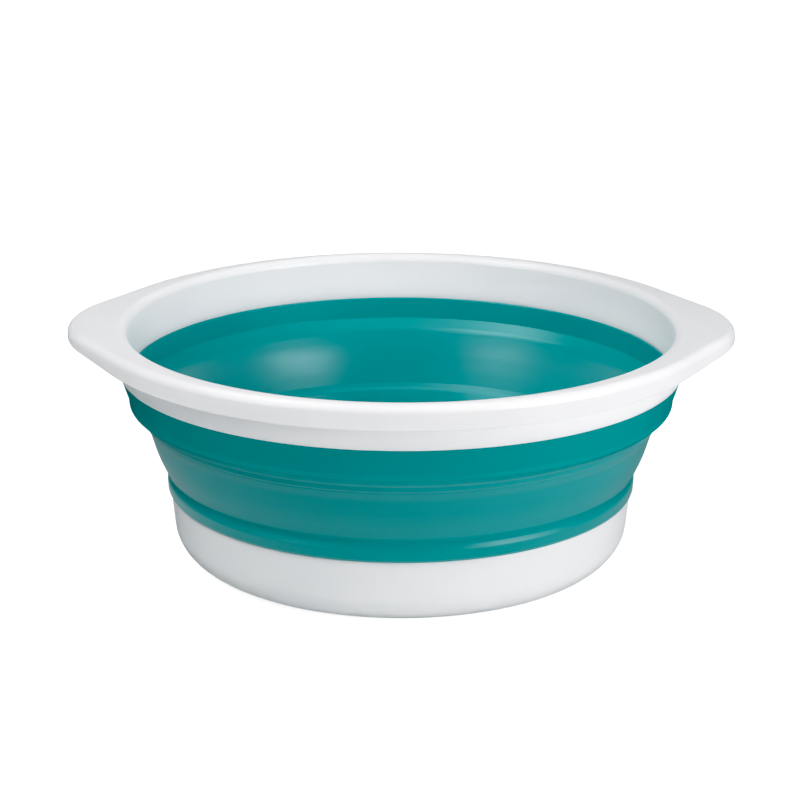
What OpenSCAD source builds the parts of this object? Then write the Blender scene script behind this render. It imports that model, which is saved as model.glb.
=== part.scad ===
// Round collapsible washing tub for a small pet: a stiff rim with two flat ears,
// a rubbery wall that folds at two creases, and a stiff base pan.
// Millimetres, +Z up. The origin is the centre of the foot, and the ears lie along X.

/* [Base pan] */
// Outer radius of the base pan's top edge, from which the whole bowl widens
base_r = 132.9; // [110:0.1:170]
// Height of the base pan from the ground to its top edge
base_h = 39; // [30:0.5:60]
// How far the base pan's wall leans in from its top edge to its foot
base_taper = 3.5; // [1:0.5:8]
// Radius of the rounded edge under the base pan
base_round = 16; // [6:0.5:20]
// Thickness of the base pan's wall
base_wall = 2.2; // [1.8:0.1:3.5]
// Thickness of the base pan's floor
floor_t = 2.5; // [1.8:0.1:4]
// Width of the foot ring that the pan stands on
foot_w = 12; // [5:0.5:20]
// Depth of the hollow inside the foot ring
foot_recess = 1; // [0.5:0.1:1.5]

/* [Lower collar] */
// Height of the lower collar from the base pan's edge to the lower crease
lower_collar_h = 14; // [9:0.5:20]
// How far the lower collar stands proud of the base pan's edge
collar_step = 0.9; // [0.4:0.1:2]
// How far the lower collar swells between the base pan's edge and the crease
collar_swell = 2.4; // [0.5:0.1:5]
// Height over which the lower collar swells
swell_h = 4.5; // [3:0.5:6]
// Radius of the round shoulder on the lower collar
swell_round = 8; // [3:0.5:10]
// Thickness of the lower collar at the crease
lower_collar_t = 2.2; // [1.5:0.1:3]

/* [Folding band] */
// Height of the folding band from the lower crease to the step under the upper collar
band_h = 33; // [25:0.5:50]
// Thickness of the folding band
band_t = 1.8; // [1.2:0.1:2.5]
// How much wider the folding band is at its top than at the lower crease
band_flare = 10.4; // [6:0.1:16]
// Height over which the band's foot and the lower collar lap
crease_lap = 2; // [2:0.5:6]
// Gap between the pieces at each fold line
fold_gap = 0.3; // [0.2:0.05:0.5]

/* [Upper collar] */
// Height of the upper collar from its ridge to the rim's skirt
upper_collar_h = 17; // [12:0.5:30]
// How much wider the upper collar is at the rim than at its ridge
upper_collar_flare = 1.3; // [0.5:0.1:6]
// Width of the slanted step between the ridge and the folding band
step_w = 8; // [6:0.5:12]
// Height of the slanted step
step_h = 6.6; // [4:0.2:10]
// Width of the step's outer part, which belongs to the upper collar
ledge_w = 3.9; // [2.5:0.1:4.5]
// Radius of the round ridge under the upper collar
ridge_round = 2.5; // [1:0.1:3]

/* [Rim] */
// Height of the rim from the bottom of its skirt to its crest
rim_h = 26; // [22:0.5:36]
// Thickness of the rim's skirt, and of the upper collar bonded to it
skirt_t = 2.7; // [2.2:0.1:4]
// How much wider the skirt is at the mouth than at its bottom edge
skirt_flare = 0.4; // [0:0.2:6]
// Width of the rim's flange at the front and the back
flange_w = 10; // [6:0.5:16]
// Radius of the round between the mouth and the crest
crest_round = 5; // [3:0.5:5]
// Radius of the round on the flange's outer edge
edge_round = 4.5; // [1.5:0.5:5]
// Height of the flange with its down-turned lip, at the front and the back
lip_h = 14; // [10:0.5:18]
// Thickness of the flange and its lip
flange_t = 2.2; // [1.6:0.1:3]

/* [Ears] */
// How far each ear's tip reaches out from the mouth
ear_len = 34.3; // [24:0.1:50]
// Radius of each ear's rounded tip
ear_tip_r = 74; // [40:1:80]
// Angle by which each ear's straight sides turn away from square to the ear
ear_angle = 31; // [26:0.5:34]
// How far each ear's tip lies below the crest
ear_fall = 1.2; // [0:0.2:3]
// Height of the flange with its lip at each ear's tip
ear_lip_h = 7.5; // [6:0.5:14]

/* [Bonded joints] */
// Height of the tongues that key the wall to the rim and to the base pan
tongue_h = 4; // [2:0.5:6]
// Thickness of those tongues
tongue_t = 1; // [0.6:0.1:1.2]
// Clearance around each tongue in its groove
tongue_gap = 0.1; // [0.05:0.05:0.2]
// Thickness of rubber that closes the lower groove above the tongue
tongue_cover = 1.5; // [1:0.1:2]

/* [Hidden] */

white = [0.93, 0.94, 0.95];
teal = [0.04, 0.54, 0.52];

// Heights of the fold lines and edges, from the ground up
crease_z = base_h + lower_collar_h;
step_z = crease_z + band_h;
ridge_z = step_z + step_h;
skirt_z = ridge_z + upper_collar_h;
crest_z = skirt_z + rim_h;

// Radii of the fold lines and edges, from the base pan outwards
foot_r = base_r - base_taper;
crease_r = base_r + collar_step + collar_swell;
band_foot_r = crease_r + fold_gap + band_t;
band_top_r = band_foot_r + band_flare;
ridge_r = band_top_r + step_w;
split_r = ridge_r - ledge_w;
split_z = ridge_z - ledge_w * step_h / step_w;
skirt_r = ridge_r + upper_collar_flare;
mouth_r = skirt_r - skirt_t + skirt_flare;

// Outline of the flange: a flat arc front and back, an arc on each ear and straight runs between
half_depth = mouth_r + flange_w;
tip_x = mouth_r + ear_len - ear_tip_r;
run_dist = tip_x * cos(ear_angle) + ear_tip_r;
arc_back = (run_dist - half_depth) / (1 - sin(ear_angle));
outline_r = half_depth + arc_back;
arc_end = atan2(outline_r * sin(ear_angle) - arc_back, outline_r * cos(ear_angle));
tip_end = atan2(ear_tip_r * sin(ear_angle), tip_x + ear_tip_r * cos(ear_angle));

// The rounds on the flange, limited by a narrow flange, and the skirt's top under the flange
crest_r = min(crest_round, flange_w / 2);
edge_r = min(edge_round, flange_w / 2);
under_r = mouth_r + flange_t;

// Points on each round, and stations round the rim
round_steps = 5;
stations = 120;

function unit(v) = v / norm(v);

// The points of a round of radius r at corner b, between the points a and c
function rounded(a, b, c, r) =
    let (u = unit(a - b), v = unit(c - b), half = acos(u * v) / 2)
    let (centre = b + unit(u + v) * r / sin(half), reach = r / tan(half))
    let (from = b + u * reach - centre, to = b + v * reach - centre)
    [for (i = [0:round_steps]) centre + r * unit(from + (to - from) * i / round_steps)];

// The right-hand normal of the stretch from a to b
function normal(a, b) = let (d = unit(b - a)) [-d[1], d[0]];

// A wall of thickness t behind a path, cut at its ends along the two given directions
function wall(path, t, first, last) =
    let (n = len(path) - 1)
    let (inner = [for (i = [n:-1:0])
        let (before = normal(path[max(i - 1, 0)], path[max(i, 1)]))
        let (after = normal(path[min(i, n - 1)], path[min(i + 1, n)]))
        let (way = i == 0 ? first : i == n ? last : unit(before + after))
        path[i] - way * t / (way * (i == 0 ? after : before))])
    concat(path, inner);

// A point of the flange's outline at an angle round the bowl: [place, outward direction]
function outline(a) =
    let (side = [cos(a) < 0 ? -1 : 1, sin(a) < 0 ? -1 : 1])
    let (q = atan2(abs(sin(a)), abs(cos(a))))
    let (dir = [cos(q), sin(q)])
    let (on_arc = q >= arc_end, on_tip = q < tip_end)
    let (reach = on_arc ? sqrt(outline_r ^ 2 - (arc_back * cos(q)) ^ 2) - arc_back * sin(q)
        : on_tip ? tip_x * cos(q) + sqrt(ear_tip_r ^ 2 - (tip_x * sin(q)) ^ 2)
        : run_dist / cos(q - ear_angle))
    let (p = dir * reach)
    let (out = on_arc ? unit(p + [0, arc_back])
        : on_tip ? unit(p - [tip_x, 0])
        : [cos(ear_angle), sin(ear_angle)])
    [[side[0] * p[0], side[1] * p[1]], [side[0] * out[0], side[1] * out[1]]];

// One section of the rim at an angle round the bowl, from the mouth over the flange to the skirt
function rim_section(a) =
    let (edge = outline(a), dir = [cos(a), sin(a)])
    let (past = (norm(edge[0]) - half_depth) / (mouth_r + ear_len - half_depth))
    let (on_ear = max(past, 0), deck_z = crest_z - ear_fall * on_ear)
    let (lip_z = deck_z - lip_h + (lip_h - ear_lip_h) * on_ear, under_z = deck_z - flange_t)
    let (mid_r = skirt_r - skirt_t / 2)
    let (on_bowl = function (r, z) [dir[0] * r, dir[1] * r, z])
    let (on_edge = function (inset, z) [edge[0][0] - edge[1][0] * inset, edge[0][1] - edge[1][1] * inset, z])
    concat(
        [on_bowl(skirt_r - skirt_t, skirt_z)],
        [for (i = [0:round_steps]) let (t = 90 * i / round_steps)
            on_bowl(mouth_r + crest_r * (1 - cos(t)), crest_z - crest_r * (1 - sin(t)))],
        [for (i = [0:round_steps]) let (t = 90 * i / round_steps)
            on_edge(edge_r * (1 - sin(t)), deck_z - edge_r * (1 - cos(t)))],
        [on_edge(0, lip_z), on_edge(flange_t, lip_z), on_edge(flange_t, under_z)],
        [on_bowl(under_r, under_z), on_bowl(skirt_r, skirt_z)],
        [on_bowl(mid_r + tongue_t / 2, skirt_z), on_bowl(mid_r + tongue_t / 2, skirt_z - tongue_h)],
        [on_bowl(mid_r - tongue_t / 2, skirt_z - tongue_h), on_bowl(mid_r - tongue_t / 2, skirt_z)]
    );

// The groove that takes a tongue, as a half section beside the axis
module groove(mid_r, mouth_z, up) {
    groove_w = tongue_t + 2 * tongue_gap;
    groove_h = tongue_h + tongue_gap;
    translate([mid_r - groove_w / 2, up ? mouth_z : mouth_z - groove_h])
        square([groove_w, groove_h]);
}

// Moulded pan with a rounded lower edge, a foot ring and a tongue along its top edge
module base_pan() {
    inner_r = base_r - base_wall;
    mid_r = base_r - base_wall / 2;
    floor_z = foot_recess + floor_t;
    rim_out = [base_r, base_h];
    corner = [foot_r, 0];
    ring_in = [foot_r - base_round - foot_w, 0];
    hollow = [ring_in[0] - foot_recess, foot_recess];
    inner_corner = [foot_r - base_wall, floor_z];
    rim_in = [inner_r, base_h];
    color(white) rotate_extrude($fn = 180) {
        polygon(concat(
            [[0, foot_recess], hollow, ring_in],
            rounded(ring_in, corner, rim_out, base_round),
            [rim_out, rim_in],
            rounded(rim_in, inner_corner, [0, floor_z], base_round - base_wall),
            [[0, floor_z]]
        ));
        translate([mid_r - tongue_t / 2, base_h]) square([tongue_t, tongue_h]);
    }
}

// Rubbery collar bonded to the base pan, from its edge to just above the lower crease
module lower_collar() {
    top_z = crease_z + crease_lap / 2;
    inner_r = base_r - base_wall;
    shoulder = [crease_r, base_h + swell_h];
    foot = [base_r + collar_step, base_h];
    top = [crease_r, top_z];
    color(teal) rotate_extrude($fn = 180) difference() {
        polygon(concat(
            [foot],
            rounded(foot, shoulder, top, swell_round),
            [top, [crease_r - lower_collar_t, top_z]],
            [[inner_r, base_h + tongue_h + tongue_cover], [inner_r, base_h]]
        ));
        groove(base_r - base_wall / 2, base_h, true);
    }
}

// Rubbery cone that turns inside out between the two creases when the tub is folded
module fold_band() {
    flange = [split_r - fold_gap, split_z - fold_gap * step_h / step_w];
    top = [band_top_r, step_z];
    bend = [band_foot_r, crease_z + crease_lap / 2];
    foot = [band_foot_r, crease_z - crease_lap / 2];
    path = concat(
        [flange],
        rounded(flange, top, bend, ridge_round),
        [bend, foot]
    );
    color(teal) rotate_extrude($fn = 180) polygon(wall(path, band_t, [0, -1], [1, 0]));
}

// Rubbery collar bonded under the rim, down to its ridge and the ledge of the upper crease
module upper_collar() {
    top = [skirt_r, skirt_z];
    ridge = [ridge_r, ridge_z];
    ledge = [split_r, split_z];
    path = concat([top], rounded(top, ridge, ledge, ridge_round), [ledge]);
    color(teal) rotate_extrude($fn = 180) difference() {
        polygon(wall(path, skirt_t, [1, 0], [0, -1]));
        groove(skirt_r - skirt_t / 2, skirt_z, false);
    }
}

// Moulded rim: inner wall and skirt, rounded crest, and a flange with a down-turned lip and two ears
module rim_frame() {
    sections = [for (i = [0:stations - 1]) rim_section(360 * i / stations)];
    n = len(sections[0]);
    points = [for (s = sections) for (p = s) p];
    at = function (i, j) (i % stations) * n + j % n;
    faces = [for (i = [0:stations - 1]) for (j = [0:n - 1]) each [
        [at(i, j), at(i + 1, j), at(i + 1, j + 1)],
        [at(i, j), at(i + 1, j + 1), at(i, j + 1)]
    ]];
    color(white) polyhedron(points, faces);
}

base_pan();
lower_collar();
fold_band();
upper_collar();
rim_frame();
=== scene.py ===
"""A round collapsible tub for washing a small pet: its looks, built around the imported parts."""
import math

import bmesh
import bpy
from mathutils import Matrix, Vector


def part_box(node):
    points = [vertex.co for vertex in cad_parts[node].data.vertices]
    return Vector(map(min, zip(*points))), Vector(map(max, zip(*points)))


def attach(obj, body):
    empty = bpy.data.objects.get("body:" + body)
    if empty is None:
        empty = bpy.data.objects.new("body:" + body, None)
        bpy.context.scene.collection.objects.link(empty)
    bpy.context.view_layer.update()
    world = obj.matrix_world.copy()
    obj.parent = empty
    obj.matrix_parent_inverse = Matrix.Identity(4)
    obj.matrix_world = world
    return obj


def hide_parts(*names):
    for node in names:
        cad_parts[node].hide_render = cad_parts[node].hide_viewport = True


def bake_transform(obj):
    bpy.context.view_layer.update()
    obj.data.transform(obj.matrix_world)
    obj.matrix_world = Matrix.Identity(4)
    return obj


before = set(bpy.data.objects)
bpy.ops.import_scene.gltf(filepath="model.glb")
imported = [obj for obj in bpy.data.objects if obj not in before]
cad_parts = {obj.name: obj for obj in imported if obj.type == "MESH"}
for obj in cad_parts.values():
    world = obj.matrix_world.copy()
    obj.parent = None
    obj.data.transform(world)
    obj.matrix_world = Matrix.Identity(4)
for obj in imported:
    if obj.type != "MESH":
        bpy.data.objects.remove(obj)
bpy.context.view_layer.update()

# Base pan
# A shallow pan moulded in white polypropylene, with a wide round lower edge and a foot ring under it.
# The rubber wall is moulded onto its top edge.

MM = 0.001
TURN = 2 * math.pi
SPIN_STEPS = 240
SEAM = 0.002 * MM
SHARP_EDGE = math.radians(30)


def pick(piece, wanted):
    """Select the points of the piece in edit mode that a test on their place picks out."""
    bpy.ops.mesh.select_all(action="DESELECT")
    mesh = bmesh.from_edit_mesh(piece.data)
    for point in mesh.verts:
        point.select = bool(wanted(point.co))
    mesh.select_flush(True)
    bmesh.update_edit_mesh(piece.data)


def start_point(name, at):
    """Begin a piece as a small plane drawn together to one point, and stay in edit mode."""
    bpy.ops.object.select_all(action="DESELECT")
    bpy.ops.mesh.primitive_plane_add(size=MM, location=(0, 0, 0))
    piece = bpy.context.object
    piece.name = name
    bpy.ops.object.mode_set(mode="EDIT")
    bpy.ops.mesh.select_mode(type="VERT")
    bpy.ops.mesh.select_all(action="SELECT")
    bpy.ops.mesh.merge(type="CENTER")
    bpy.ops.transform.translate(value=at)
    return piece


def turned_piece(name, corners, closed):
    """Turn a section round the Z axis. A corner is its radius, height and rounding in mm, and its steps."""
    spots = [Vector((radius * MM, 0, height * MM)) for radius, height, _, _ in corners]
    piece = start_point(name, spots[0])
    for before, after in zip(spots, spots[1:]):
        bpy.ops.mesh.extrude_vertices_move(TRANSFORM_OT_translate={"value": after - before})
    if closed:
        pick(piece, lambda p: min((p - spots[0]).length, (p - spots[-1]).length) < SEAM)
        bpy.ops.mesh.edge_face_add()
    for i, (_, _, rounding, steps) in enumerate(corners):
        if rounding == 0:
            continue
        to_last = spots[i - 1] - spots[i]
        to_next = spots[(i + 1) % len(spots)] - spots[i]
        pick(piece, lambda p: (p - spots[i]).length < SEAM)
        reach = rounding * MM / math.tan(to_last.angle(to_next) / 2)
        bpy.ops.mesh.bevel(offset=reach, segments=steps, affect="VERTICES")
    bpy.ops.mesh.select_all(action="SELECT")
    bpy.ops.mesh.spin(steps=SPIN_STEPS, angle=TURN, center=(0, 0, 0), axis=(0, 0, 1))
    bpy.ops.mesh.select_all(action="SELECT")
    bpy.ops.mesh.remove_doubles(threshold=SEAM)
    bpy.ops.mesh.normals_make_consistent(inside=False)
    bpy.ops.object.mode_set(mode="OBJECT")
    return piece


def smooth(piece):
    """Shade the piece smooth apart from its sharp edges, and keep its large faces flat."""
    bpy.ops.object.select_all(action="DESELECT")
    piece.select_set(True)
    bpy.context.view_layer.objects.active = piece
    bpy.ops.object.shade_smooth_by_angle(angle=SHARP_EDGE)
    shading = piece.modifiers.new("flat_large_faces", "WEIGHTED_NORMAL")
    shading.weight = 100
    shading.keep_sharp = True
    bpy.ops.object.modifier_apply(modifier=shading.name)


_, pan_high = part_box("base_pan")
collar_low, collar_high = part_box("lower_collar")
pan_proud = 0.3
pan_drop = 0.2
base_r = pan_high.x / MM + pan_proud
base_top = collar_low.z / MM - pan_drop
base_taper = 3.5
base_round = 19.5
pan_wall = 2.2
floor_top = 3.5
foot_recess = 1
foot_w = 12
gate_r = 4
gate_slope = 1
gate_drop = 0.4
foot_r = base_r - base_taper
ring_in = foot_r - base_round - foot_w

base_pan = turned_piece("base_pan_shell", [
    # Gate mark in the middle of the underside, the hollow, and the foot ring
    (0, foot_recess - gate_drop, 0, 0),
    (gate_r, foot_recess - gate_drop, 0.3, 2),
    (gate_r + gate_slope, foot_recess, 0.3, 2),
    (ring_in - foot_recess, foot_recess, 0.4, 3),
    (ring_in, 0, 0.4, 3),
    # Round lower edge, leaning wall and top edge
    (foot_r, 0, base_round, 16),
    (base_r, base_top, 0.5, 3),
    (base_r - pan_wall, base_top, 0.3, 2),
    # Inside, down to the floor
    (foot_r - pan_wall, floor_top, base_round - pan_wall, 12),
    (0, floor_top, 0, 0),
], closed=False)
smooth(base_pan)


def linear(code):
    """Turn an sRGB hex colour into linear red, green, blue and alpha."""
    parts = [int(code[i:i + 2], 16) / 255 for i in (1, 3, 5)]
    return [c / 12.92 if c <= 0.04045 else ((c + 0.055) / 1.055) ** 2.4 for c in parts] + [1]


def add_node(tree, kind, inputs=None, **settings):
    """Add a node with its settings, and fill its inputs with values or with links from other sockets."""
    node = tree.nodes.new(kind)
    for name, value in settings.items():
        setattr(node, name, value)
    for name, value in (inputs or {}).items():
        if isinstance(value, bpy.types.NodeSocket):
            tree.links.new(value, node.inputs[name])
        else:
            node.inputs[name].default_value = value
    return node


def per_metre(size):
    """The scale of a pattern whose features have the given size in millimetres."""
    return 1 / (size * MM)


# Moulded polypropylene: a clean, faintly cool white with a soft gloss and a milky depth, a little mottled
# where the melt cooled. A fine moulded grain breaks the edges of its highlights. The grain is drawn coarser
# than the real one, so that it shows.
white_mottle = 35
white_grain = 1.2
white_grain_depth = 0.03
milky_depth = 6
white_polypropylene = bpy.data.materials.new("white_polypropylene_moulded")
white_polypropylene.use_nodes = True
tree = white_polypropylene.node_tree
white_shader = tree.nodes["Principled BSDF"]
where = add_node(tree, "ShaderNodeTexCoord")
mottle = add_node(tree, "ShaderNodeTexNoise", {
    "Vector": where.outputs["Object"], "Scale": per_metre(white_mottle), "Detail": 3})
tint = add_node(tree, "ShaderNodeMix", {
    "Factor": mottle.outputs["Fac"], 6: linear("#f2f1f5"), 7: linear("#f8f7fa")}, data_type="RGBA")
tree.links.new(tint.outputs[2], white_shader.inputs["Base Color"])
gloss = add_node(tree, "ShaderNodeMapRange", {
    "Value": mottle.outputs["Fac"], "To Min": 0.27, "To Max": 0.37})
tree.links.new(gloss.outputs["Result"], white_shader.inputs["Roughness"])
grain = add_node(tree, "ShaderNodeTexNoise", {
    "Vector": where.outputs["Object"], "Scale": per_metre(white_grain), "Detail": 2})
relief = add_node(tree, "ShaderNodeBump", {
    "Height": grain.outputs["Fac"], "Strength": 0.12, "Distance": white_grain_depth * MM})
tree.links.new(relief.outputs["Normal"], white_shader.inputs["Normal"])
white_shader.inputs["IOR"].default_value = 1.49
white_shader.inputs["Subsurface Weight"].default_value = 0.5
white_shader.inputs["Subsurface Radius"].default_value = (1, 1, 1)
white_shader.inputs["Subsurface Scale"].default_value = milky_depth * MM
base_pan.data.materials.append(white_polypropylene)
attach(base_pan, "base")
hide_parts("base_pan")

# Folding wall
# One moulding in teal thermoplastic rubber, bonded to the rim's skirt above and to the base pan below.
# Two fold lines are drawn in it, where the real cone turns inside out. A flared collar ends in a beaded ridge
# above the cone, and a cove and a rounded collar lie below it.

_, upper_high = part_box("upper_collar")
top_drop = 0.4
crease_drop = 2
collar_flare = 2.3
seam_rise = 0.85
inner_drop = 2.3
bond_gap = 0.3
skirt_t = 2.5
cone_t = 2
wall_r = upper_high.x / MM
wall_top = upper_high.z / MM - top_drop
crease_z = collar_high.z / MM - crease_drop
fold_top = wall_top - 20
collar_r = wall_r + collar_flare
seam_z = wall_top + seam_rise
inner_r = wall_r - skirt_t
inner_top = wall_top - inner_drop
ridge_r = wall_r - 2.3
ridge_z = wall_top - 17.4
step_r = wall_r - 9.2
step_z = wall_top - 23
cone_high_r = wall_r - 13.2
cone_high_z = wall_top - 31.8
cone_low_r = wall_r - 17
cone_low_z = wall_top - 45

wall = turned_piece("folding_wall", [
    # Outside, from the rim's skirt down: flared collar, beaded ridge, slanted step and a fine groove
    (collar_r, seam_z, 0, 0),
    (ridge_r - 0.3, ridge_z + 3, 2, 3),
    (ridge_r, ridge_z, 1.6, 7),
    (step_r, step_z, 2, 5),
    (step_r - 0.7, step_z - 2.6, 0.5, 2),
    (step_r - 1.3, step_z - 3.4, 0.4, 2),
    (step_r - 1.6, step_z - 4.3, 0.5, 2),
    # Cone, a little hollow in its upper third, then the cove under its lower edge and the lower collar
    (cone_high_r, cone_high_z, 12, 5),
    (cone_low_r, cone_low_z, 60, 6),
    (base_r + 2.3, crease_z, 0.8, 4),
    (base_r + 0.9, crease_z - 2.3, 4, 8),
    (base_r + 1.9, crease_z - 6.6, 4, 8),
    (base_r + 1.7, base_top + 1.7, 1, 4),
    (base_r + 1, base_top + bond_gap, 0.4, 3),
    # Underside over the base pan's edge, then up the inside: collar, bead, undercut, cone, ledge and top
    (base_r - pan_wall, base_top + bond_gap, 0, 0),
    (base_r - 1.6, base_top + 8.5, 4, 4),
    (base_r + 0.3, crease_z + 0.2, 1.2, 5),
    (base_r + 2, crease_z + 1.7, 0.5, 3),
    (base_r + 3.6, crease_z + 4.2, 0.8, 3),
    (cone_low_r - cone_t, cone_low_z + 0.3, 60, 6),
    (cone_high_r - cone_t, cone_high_z + 0.4, 70, 8),
    (step_r - 1.3, step_z + 2.3, 12, 8),
    (ridge_r - 2.2, ridge_z + 2.8, 1, 4),
    (inner_r - 0.9, inner_top, 0.4, 3),
], closed=True)
smooth(wall)

# Moulded thermoplastic rubber: a deep even teal with a satin gloss. Faint flow lines run round the wall and
# stretch its highlights, and a fine grain, drawn coarse so that it shows, softens them. A dusty bloom dulls
# the cone and the lower collar's lower half, most of all at a slant, and a few small scuffs lie on the wall.
# On the cone the teal is painted paler, partly for the dust and partly as a painted sheen.
teal_mottle = 40
teal_grain = 0.9
teal_grain_depth = 0.03
flow_height = 3
flow_length = 120
flow_depth = 0.1
cone_band_fade = 5
scuff_gap = 45
scuff_r = 2.2
scuff_share = 0.45
scuff_strength = 0.5
cone_dust = 0.36
collar_dust_share = 1.7
teal_rubber = bpy.data.materials.new("teal_thermoplastic_rubber_moulded")
teal_rubber.use_nodes = True
tree = teal_rubber.node_tree
teal_shader = tree.nodes["Principled BSDF"]
where = add_node(tree, "ShaderNodeTexCoord")
mottle = add_node(tree, "ShaderNodeTexNoise", {
    "Vector": where.outputs["Object"], "Scale": per_metre(teal_mottle), "Detail": 3})
tint = add_node(tree, "ShaderNodeMix", {
    "Factor": mottle.outputs["Fac"], 6: linear("#008588"), 7: linear("#008d90")}, data_type="RGBA")

# The cone band lies between the two fold lines. The paler teal on it is partly dust, partly painted sheen
height = add_node(tree, "ShaderNodeSeparateXYZ", {0: where.outputs["Object"]})
above_crease = add_node(tree, "ShaderNodeMapRange", {
    "Value": height.outputs["Z"], "From Min": (crease_z - 0.5) * MM, "From Max": (crease_z + 1.5) * MM})
below_ridge = add_node(tree, "ShaderNodeMapRange", {
    "Value": height.outputs["Z"], "From Min": fold_top * MM, "From Max": (fold_top - cone_band_fade) * MM})
cone_band = add_node(tree, "ShaderNodeMath", {
    0: above_crease.outputs["Result"], 1: below_ridge.outputs["Result"]}, operation="MULTIPLY")
# Painted sheen: a paler teal over the cone band, which also stands for the dust on it
dust_and_painted_sheen = add_node(tree, "ShaderNodeMix", {
    "Factor": cone_band.outputs[0], 6: tint.outputs[2], 7: linear("#198a8e")}, data_type="RGBA")

# Scuffs are small round spots, and only some of the places that could have one do
spots = add_node(tree, "ShaderNodeTexVoronoi", {
    "Vector": where.outputs["Object"], "Scale": per_metre(scuff_gap)})
chance = add_node(tree, "ShaderNodeSeparateColor", {0: spots.outputs["Color"]})
rubbed = add_node(tree, "ShaderNodeMapRange", {
    "Value": chance.outputs[0], "From Min": 1 - scuff_share, "From Max": 1, "To Max": scuff_strength})
near_spot = add_node(tree, "ShaderNodeMapRange", {
    "Value": spots.outputs["Distance"], "From Min": scuff_r / scuff_gap, "From Max": 0})
scuff = add_node(tree, "ShaderNodeMath", {
    0: rubbed.outputs["Result"], 1: near_spot.outputs["Result"]}, operation="MULTIPLY")
worn = add_node(tree, "ShaderNodeMix", {
    "Factor": scuff.outputs[0], 6: dust_and_painted_sheen.outputs[2], 7: linear("#4f9c9a")}, data_type="RGBA")
tree.links.new(worn.outputs[2], teal_shader.inputs["Base Color"])

# Flow lines and grain
along = add_node(tree, "ShaderNodeMapping", {
    "Vector": where.outputs["Object"],
    "Scale": (per_metre(flow_length), per_metre(flow_length), per_metre(flow_height))})
flow = add_node(tree, "ShaderNodeTexNoise", {"Vector": along.outputs["Vector"], "Scale": 1, "Detail": 2})
gloss = add_node(tree, "ShaderNodeMapRange", {
    "Value": flow.outputs["Fac"], "To Min": 0.26, "To Max": 0.34})
tree.links.new(gloss.outputs["Result"], teal_shader.inputs["Roughness"])
grain = add_node(tree, "ShaderNodeTexNoise", {
    "Vector": where.outputs["Object"], "Scale": per_metre(teal_grain), "Detail": 2})
waves = add_node(tree, "ShaderNodeBump", {
    "Height": flow.outputs["Fac"], "Strength": 0.3, "Distance": flow_depth * MM})
relief = add_node(tree, "ShaderNodeBump", {
    "Height": grain.outputs["Fac"], "Strength": 0.2, "Distance": teal_grain_depth * MM,
    "Normal": waves.outputs["Normal"]})
tree.links.new(relief.outputs["Normal"], teal_shader.inputs["Normal"])
teal_shader.inputs["IOR"].default_value = 1.5

# Dust on the cone and on the lower half of the lower collar
below_cove = add_node(tree, "ShaderNodeMapRange", {
    "Value": height.outputs["Z"], "From Min": (crease_z - 4) * MM, "From Max": (crease_z - 7) * MM,
    "To Max": collar_dust_share})
dusty = add_node(tree, "ShaderNodeMath", {
    0: cone_band.outputs[0], 1: below_cove.outputs["Result"]}, operation="ADD")
dust = add_node(tree, "ShaderNodeMath", {0: dusty.outputs[0], 1: cone_dust}, operation="MULTIPLY")
tree.links.new(dust.outputs[0], teal_shader.inputs["Sheen Weight"])
teal_shader.inputs["Sheen Roughness"].default_value = 0.5
wall.data.materials.append(teal_rubber)
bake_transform(wall)
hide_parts("lower_collar", "fold_band", "upper_collar")

# Rim
# A frame moulded in white polypropylene, open below: an inner wall that carries the rubber, a rounded crest,
# and a flange that widens into two flat ears. The flange turns down in a lip, less deep at the ears.

_, rim_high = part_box("rim_frame")
crest_z = rim_high.z / MM
ear_tip = rim_high.x / MM
half_depth = rim_high.y / MM
ear_round = 74
ear_angle = math.radians(31)
mouth_r = wall_r - 2.3
crest_round = 5
edge_round = 4.5
round_steps = 8
lip_h = 14
ear_lip_h = 7.5
ear_fall = 1.2
lip_edge_round = 0.9
lip_edge_steps = 3
skirt_gap = 0.4
skirt_drop = 0.6
tip_steps = 16
run_steps = 19
arc_steps = 85
outline_steps = 4 * (tip_steps + run_steps + arc_steps)
near = 1
facing_down = -0.7

# The outline is a round tip, a straight run and a flat arc, and both are tangent to the run
tip_middle = ear_tip - ear_round
arc_back = (tip_middle * math.cos(ear_angle) + ear_round - half_depth) / (1 - math.sin(ear_angle))
arc_r = half_depth + arc_back
arc_angle = TURN / 4 - ear_angle
run_start = Vector((tip_middle + ear_round * math.cos(ear_angle), ear_round * math.sin(ear_angle), 0))
run_end = Vector((arc_r * math.cos(ear_angle), arc_r * math.sin(ear_angle) - arc_back, 0))

rim = start_point("rim_shell", (ear_tip * MM, 0, crest_z * MM))
bpy.ops.mesh.spin(steps=tip_steps, angle=ear_angle, center=(tip_middle * MM, 0, 0), axis=(0, 0, -1))
bpy.ops.mesh.extrude_vertices_move(TRANSFORM_OT_translate={"value": (run_end - run_start) * MM})
bpy.ops.mesh.spin(steps=arc_steps, angle=arc_angle, center=(0, -arc_back * MM, 0), axis=(0, 0, -1))
run_ends = [(spot + Vector((0, 0, crest_z))) * MM for spot in (run_start, run_end)]
pick(rim, lambda p: min((p - spot).length for spot in run_ends) < SEAM)
bpy.ops.mesh.subdivide(number_cuts=run_steps - 1)
for flip in ((-1, 1, 1), (1, -1, 1)):
    bpy.ops.mesh.select_all(action="SELECT")
    bpy.ops.mesh.duplicate()
    bpy.ops.transform.resize(value=flip, center_override=(0, 0, 0))
bpy.ops.mesh.select_all(action="SELECT")
bpy.ops.mesh.remove_doubles(threshold=SEAM)
bpy.ops.mesh.select_all(action="DESELECT")
bpy.ops.mesh.primitive_circle_add(vertices=outline_steps, radius=mouth_r * MM, location=(0, 0, crest_z * MM))
bpy.ops.mesh.select_all(action="SELECT")
bpy.ops.mesh.bridge_edge_loops()


def out(point):
    """How far a point lies from the tub's axis, in millimetres."""
    return math.hypot(point.x, point.y) / MM


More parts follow.
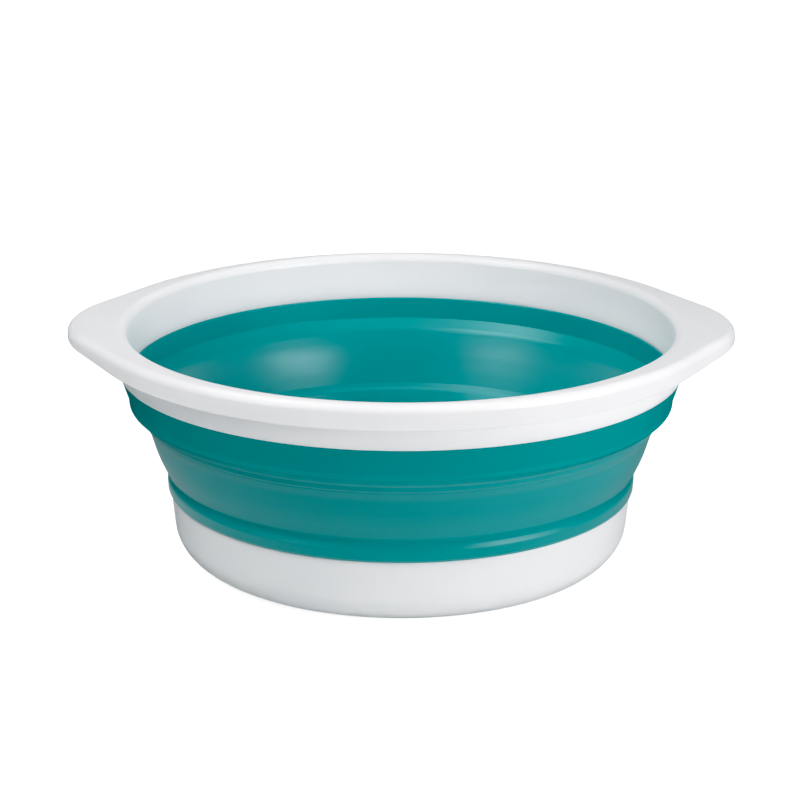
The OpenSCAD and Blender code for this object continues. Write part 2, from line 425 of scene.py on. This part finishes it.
# The inner wall and the lip are drawn down from the two edges of the flange
pick(rim, lambda p: out(p) < mouth_r + near)
bpy.ops.mesh.extrude_edges_move(TRANSFORM_OT_translate={"value": (0, 0, (inner_top - crest_z) * MM)})
draft = inner_r / mouth_r
bpy.ops.transform.resize(value=(draft, draft, 1), center_override=(0, 0, 0))
pick(rim, lambda p: out(p) > mouth_r + near)
bpy.ops.mesh.extrude_edges_move(TRANSFORM_OT_translate={"value": (0, 0, -lip_h * MM)})


def lift_ears(loop, rise):
    """Raise a loop of the lip at both ear tips, fading out towards the front and the back."""
    pick(rim, loop)
    bpy.ops.mesh.hide(unselected=True)
    for side in (-1, 1):
        pick(rim, lambda p: p.x * side > ear_tip * MM - SEAM)
        bpy.ops.transform.translate(
            value=(0, 0, rise * MM), use_proportional_edit=True, proportional_edit_falloff="SHARP",
            proportional_size=math.hypot(ear_tip, half_depth) * MM)
    bpy.ops.mesh.reveal(select=False)


middle_z = (crest_z - lip_h / 2) * MM
lift_ears(lambda p: out(p) > mouth_r + near and p.z > middle_z, -ear_fall)
lift_ears(lambda p: out(p) > mouth_r + near and p.z < middle_z, lip_h - ear_lip_h - ear_fall)

# Rounds on the crest and on the flange's edge, then the wall's thickness
bpy.ops.mesh.select_all(action="SELECT")
bpy.ops.mesh.normals_make_consistent(inside=False)
pick(rim, lambda p: out(p) < mouth_r + near and p.z > middle_z)
bpy.ops.mesh.bevel(offset=crest_round * MM, segments=round_steps, affect="EDGES")
pick(rim, lambda p: out(p) > half_depth - near and p.z > (crest_z - ear_fall) * MM - SEAM)
bpy.ops.mesh.bevel(offset=edge_round * MM, segments=round_steps, affect="EDGES")
bpy.ops.object.mode_set(mode="OBJECT")
shell = rim.modifiers.new("wall_thickness", "SOLIDIFY")
shell.thickness = skirt_t * MM
shell.offset = -1
shell.use_even_offset = True
bpy.ops.object.modifier_apply(modifier=shell.name)


def on_skirt(point):
    """Whether a point lies on the skirt's outer face, while that face is still upright."""
    return wall_r - near < out(point) < wall_r + near


# The skirt's outer face is cut once round its middle. Its lower edge flares out to meet the rubber, and the
# cut goes up to the lip, so that the skirt carries on the rubber's slope.
bpy.ops.object.mode_set(mode="EDIT")
bpy.ops.mesh.select_mode(type="EDGE")
bpy.ops.mesh.select_all(action="DESELECT")
mesh = bmesh.from_edit_mesh(rim.data)
for edge in mesh.edges:
    ends = [point.co for point in edge.verts]
    upright = abs(ends[0].z - ends[1].z) > lip_h * MM
    edge.select = upright and all(on_skirt(end) for end in ends)
bmesh.update_edit_mesh(rim.data)
bpy.ops.mesh.subdivide(number_cuts=1)
bpy.ops.mesh.select_mode(type="VERT")
pick(rim, lambda p: out(p) > wall_r - near and p.z < (inner_top + near) * MM)
seam_flare = collar_r / wall_r
bpy.ops.transform.translate(value=(0, 0, (seam_z - inner_top) * MM))
bpy.ops.transform.resize(value=(seam_flare, seam_flare, 1), center_override=(0, 0, 0))
cut_z = (inner_top + crest_z - crest_round) / 2
pick(rim, lambda p: on_skirt(p) and abs(p.z / MM - cut_z) < 2 * near)
skirt_top = crest_z - lip_h - skirt_drop
skirt_flare = (half_depth - skirt_t - skirt_gap) / wall_r
bpy.ops.transform.translate(value=(0, 0, (skirt_top - cut_z) * MM))
bpy.ops.transform.resize(value=(skirt_flare, skirt_flare, 1), center_override=(0, 0, 0))

# The lip's lower edge is eased on both sides
bpy.ops.mesh.select_all(action="DESELECT")
bpy.ops.mesh.select_mode(type="FACE")
mesh = bmesh.from_edit_mesh(rim.data)
for face in mesh.faces:
    middle = face.calc_center_median()
    on_lip = out(middle) > wall_r + near and middle.z < (crest_z - ear_lip_h / 2) * MM
    face.select = on_lip and face.normal.z < facing_down
bmesh.update_edit_mesh(rim.data)
bpy.ops.mesh.region_to_loop()
bpy.ops.mesh.bevel(offset=lip_edge_round * MM, segments=lip_edge_steps, affect="EDGES")
bpy.ops.mesh.select_mode(type="VERT")
bpy.ops.object.mode_set(mode="OBJECT")
smooth(rim)
rim.data.materials.append(white_polypropylene)
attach(rim, "rim")
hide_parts("rim_frame")

# Studio floor
# A wide matt white sheet that the tub stands on. The camera sees it lifted to the white of a cut-out page,
# the more so the farther from the tub, and the tub's gloss sees it dark. The lift doesn't light the tub.

floor_size = 30
near_lift = 1
far_lift = 1.25
lift_start = 0.6
lift_end = 1.6
bpy.ops.object.select_all(action="DESELECT")
bpy.ops.mesh.primitive_plane_add(size=floor_size, location=(0, 0, 0))
floor = bpy.context.object
floor.name = "studio_floor"
matt_paper = bpy.data.materials.new("matt_white_paper")
matt_paper.use_nodes = True
tree = matt_paper.node_tree
paper_shader = tree.nodes["Principled BSDF"]
paper_shader.inputs["Roughness"].default_value = 0.9
paper_shader.inputs["Specular IOR Level"].default_value = 0
paper_shader.inputs["Emission Color"].default_value = (1, 1, 1, 1)
ray = add_node(tree, "ShaderNodeLightPath")
sheet = add_node(tree, "ShaderNodeMix", {
    "Factor": ray.outputs["Is Glossy Ray"], 6: linear("#e8e8e8"), 7: linear("#404040")}, data_type="RGBA")
tree.links.new(sheet.outputs[2], paper_shader.inputs["Base Color"])
where = add_node(tree, "ShaderNodeTexCoord")
distance = add_node(tree, "ShaderNodeVectorMath", {0: where.outputs["Object"]}, operation="LENGTH")
fade = add_node(tree, "ShaderNodeMapRange", {
    "Value": distance.outputs["Value"], "From Min": lift_start, "From Max": lift_end,
    "To Min": near_lift, "To Max": far_lift})
lift = add_node(tree, "ShaderNodeMath", {
    0: ray.outputs["Is Camera Ray"], 1: fade.outputs["Result"]}, operation="MULTIPLY")
tree.links.new(lift.outputs[0], paper_shader.inputs["Emission Strength"])
floor.data.materials.append(matt_paper)

# Studio light
# Two soft boxes beside the camera and a strip high on the left are seen in the tub's gloss alone. A ceiling,
# a key from the right, and fills from both sides and from behind light the tub and stay out of its gloss.

aim = Vector((0, 0, 0.08))


def soft_box(name, azimuth, elevation, distance, width, height, power, gloss_only):
    """An area light that faces the tub. Azimuth 0 is towards the camera, and positive to its right."""
    light = bpy.data.lights.new(name, "AREA")
    light.shape = "RECTANGLE"
    light.size = width
    light.size_y = height
    light.energy = power
    box = bpy.data.objects.new(name, light)
    bpy.context.scene.collection.objects.link(box)
    turn = math.radians(azimuth)
    tilt = math.radians(elevation)
    way = Vector((math.sin(turn) * math.cos(tilt), -math.cos(turn) * math.cos(tilt), math.sin(tilt)))
    box.location = aim + way * distance
    box.rotation_euler = way.to_track_quat("Z", "Y").to_euler()
    box.visible_camera = False
    box.visible_glossy = gloss_only
    box.visible_diffuse = not gloss_only


# Angles in degrees, distances and sizes in metres, and power in watts
soft_box("soft_box_right", 53.5, 12, 1.25, 0.66, 0.4, 9.6, gloss_only=True)
soft_box("soft_box_left", -51, 17.5, 1.25, 0.62, 0.5, 4.4, gloss_only=True)
soft_box("top_strip", -72, 58, 1.5, 0.9, 0.5, 8.6, gloss_only=True)
soft_box("ceiling", 0, 75, 1.8, 1.2, 0.8, 17, gloss_only=False)
soft_box("key_light", 50, 11, 1.8, 1.2, 0.4, 15.5, gloss_only=False)
soft_box("right_fill", 75, 5, 1.8, 1.2, 0.25, 8.5, gloss_only=False)
soft_box("left_fill", -50, 52, 1.8, 1.2, 0.8, 20, gloss_only=False)
soft_box("back_fill", 180, 9, 1.8, 1.6, 0.4, 17, gloss_only=False)

# The room: a white page for the camera, and a dim grey one in the tub's gloss
room_glow = 0.15
page_white = 1.21
world = bpy.data.worlds.new("studio_room")
bpy.context.scene.world = world
world.use_nodes = True
world.cycles.sampling_method = "NONE"
tree = world.node_tree
ray = add_node(tree, "ShaderNodeLightPath")
glow = add_node(tree, "ShaderNodeMath", {
    0: ray.outputs["Is Glossy Ray"], 1: room_glow}, operation="MULTIPLY")
room = tree.nodes["Background"]
room.inputs["Color"].default_value = (1, 1, 1, 1)
tree.links.new(glow.outputs[0], room.inputs["Strength"])
page = add_node(tree, "ShaderNodeBackground", {"Color": (1, 1, 1, 1), "Strength": page_white})
in_view = add_node(tree, "ShaderNodeMixShader", {
    0: ray.outputs["Is Camera Ray"], 1: room.outputs[0], 2: page.outputs[0]})
tree.links.new(in_view.outputs[0], tree.nodes["World Output"].inputs["Surface"])

# Camera
# A long lens, 1.2 m in front of the tub, that looks down on it at 17 degrees. It stands half a degree to the
# right, so that the right ear is nearer.

lens_mm = 98.08
sensor_mm = 36
camera_x = -0.0015
camera_y = -1.2008
camera_z = 0.4622
pitch_down = math.radians(17.355)
roll = -0.0026
orbit = math.radians(0.56)
camera_data = bpy.data.cameras.new("camera")
camera_data.lens = lens_mm
camera_data.sensor_width = sensor_mm
camera = bpy.data.objects.new("camera", camera_data)
bpy.context.scene.collection.objects.link(camera)
camera.location = (
    camera_x * math.cos(orbit) - camera_y * math.sin(orbit),
    camera_x * math.sin(orbit) + camera_y * math.cos(orbit),
    camera_z)
camera.rotation_euler = (TURN / 4 - pitch_down, roll, orbit)
bpy.context.scene.camera = camera

# The photograph's tone: highlights that roll off softly up to the page's white, and a red channel that starts
# a little later, because the teal is deeper than a screen can show
red_black = 0.038
shoulder = ((0.289, 0.35), (0.496, 0.575), (0.661, 0.728), (0.826, 0.867))
view = bpy.context.scene.view_settings
view.view_transform = "Standard"
view.use_curve_mapping = True
tone = view.curve_mapping
tone.white_level = (page_white, page_white, page_white)
tone.black_level = (red_black, 0, 0)
for light_in, light_out in shoulder:
    tone.curves[3].points.new(light_in, light_out)
tone.update()
